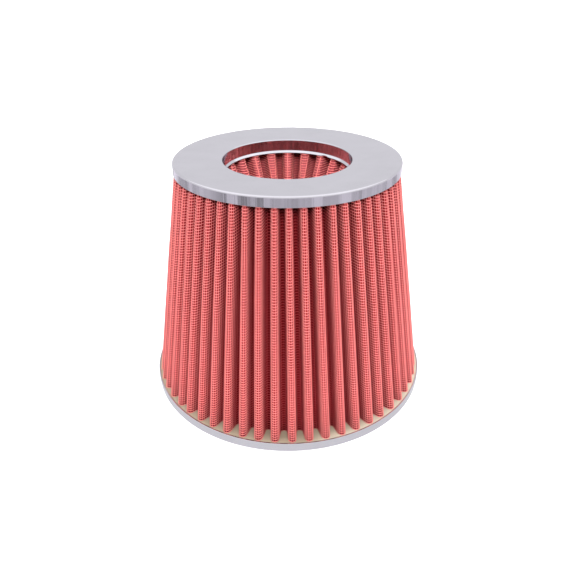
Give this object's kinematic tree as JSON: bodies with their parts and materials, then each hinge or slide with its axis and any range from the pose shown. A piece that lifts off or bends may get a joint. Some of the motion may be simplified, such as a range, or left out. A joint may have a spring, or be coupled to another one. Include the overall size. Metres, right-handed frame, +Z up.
{
  "type": "cone air filter",
  "caption": "Tapered pleated air filter with a chromed ring cap, an upside-down pleated cone in its open top, and a chromed base pan with an inlet collar.",
  "frame": {"origin": "centre of the base pan's underside, on the filter's axis", "axes": "+Z up along the axis, out of the open top; the picture looks along +Y and down, with +X to its right"},
  "size_m": [0.155, 0.155, 0.126],
  "materials": {
    "chrome": "polished",
    "plain_steel": "satin",
    "filter_net": "oiled gauze under a coated wire net",
    "potting": "satin"
  },
  "bodies": {
    "root": {"top_cap": "chrome", "cap_potting": "potting", "outer_pack": "filter_net", "inner_pack": "filter_net", "inner_dish": "plain_steel", "dish_potting": "potting", "base_pan": "chrome", "inlet_collar": "chrome", "base_potting": "potting"}
  },
  "joints": []
}
